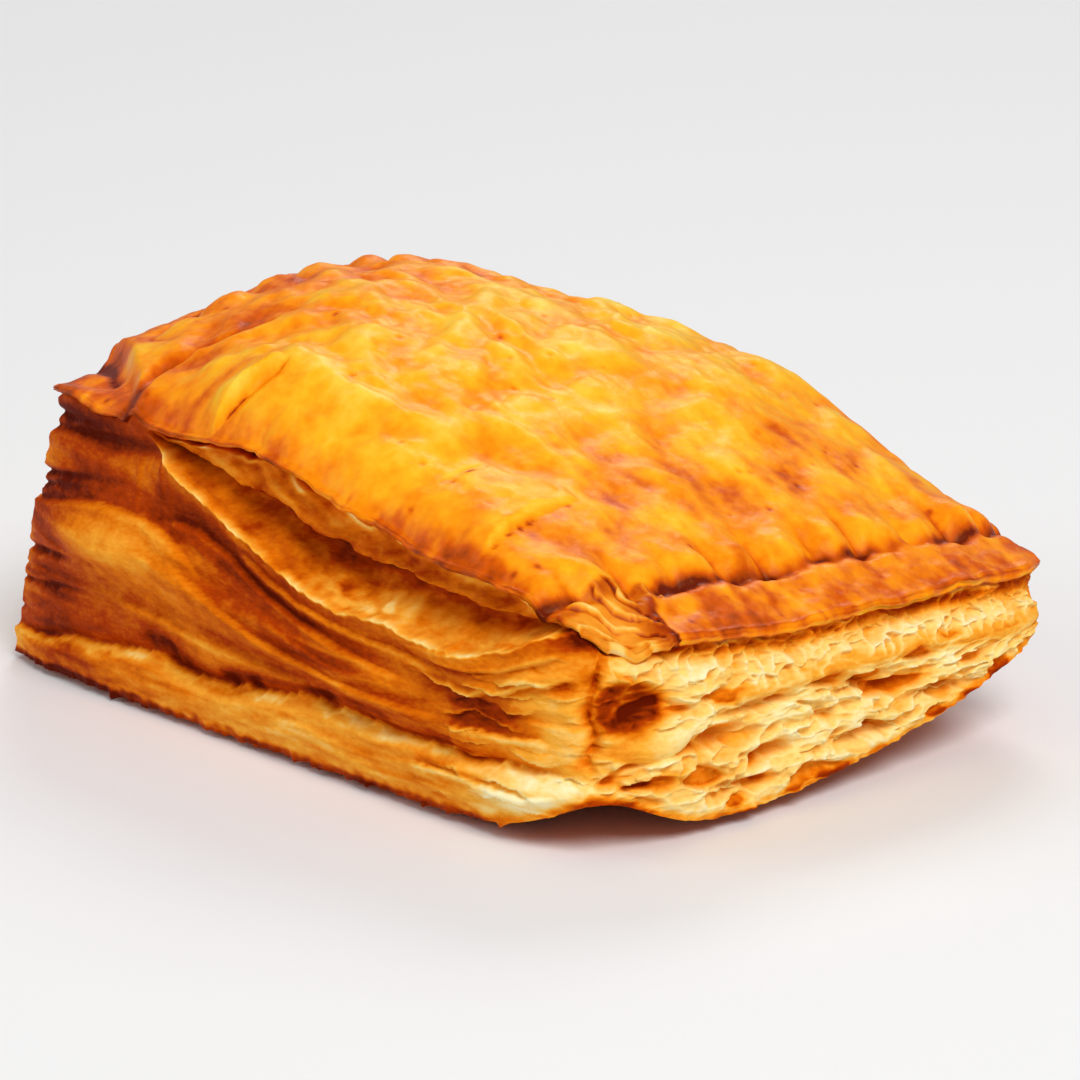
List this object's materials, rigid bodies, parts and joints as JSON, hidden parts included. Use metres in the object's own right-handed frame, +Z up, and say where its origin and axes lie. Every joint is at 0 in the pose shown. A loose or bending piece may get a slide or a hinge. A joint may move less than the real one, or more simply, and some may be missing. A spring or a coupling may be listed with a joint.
{
  "type": "tuna puff",
  "caption": "Closed rectangular puff-pastry pillow with a domed glazed crust, crimped ends, vent slits and flaky layered sides",
  "frame": {"origin": "Centre of the box's bottom face, on the surface that the puff rests on", "axes": "+X along the length to the low crimped end, +Y across the width away from the long side with the open fold, +Z up"},
  "size_m": [0.1158, 0.0878, 0.0511],
  "materials": {
    "pastry": "Baked puff pastry: egg-washed golden crust with a soft gloss, pale flaky layers at the ends, browned folds on the long sides"
  },
  "bodies": {
    "root": {"puff": "pastry"}
  },
  "joints": []
}
